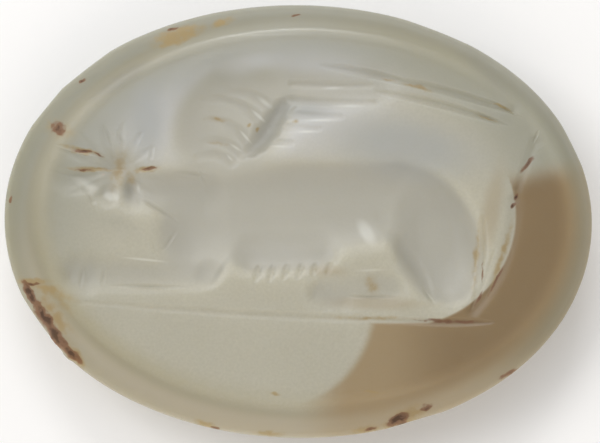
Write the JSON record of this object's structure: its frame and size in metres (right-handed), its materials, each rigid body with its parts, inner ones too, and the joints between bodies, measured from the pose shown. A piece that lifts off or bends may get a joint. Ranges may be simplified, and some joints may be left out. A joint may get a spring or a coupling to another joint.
{
  "type": "intaglio gem",
  "caption": "Oval ringstone with a bevelled edge and a flat back, engraved in its face with a recumbent winged beast that has a radiating mane, on a ground line.",
  "frame": {"origin": "centre of the flat back", "axes": "+Z out of the engraved face, +X along the oval's length, +Y across it towards the top of the device"},
  "size_m": [0.022, 0.0162, 0.0044],
  "materials": {
    "chalcedony": "polished, milky and slightly see-through, with brown clouding and spots of rust"
  },
  "bodies": {
    "root": {"gem": "chalcedony"}
  },
  "joints": []
}
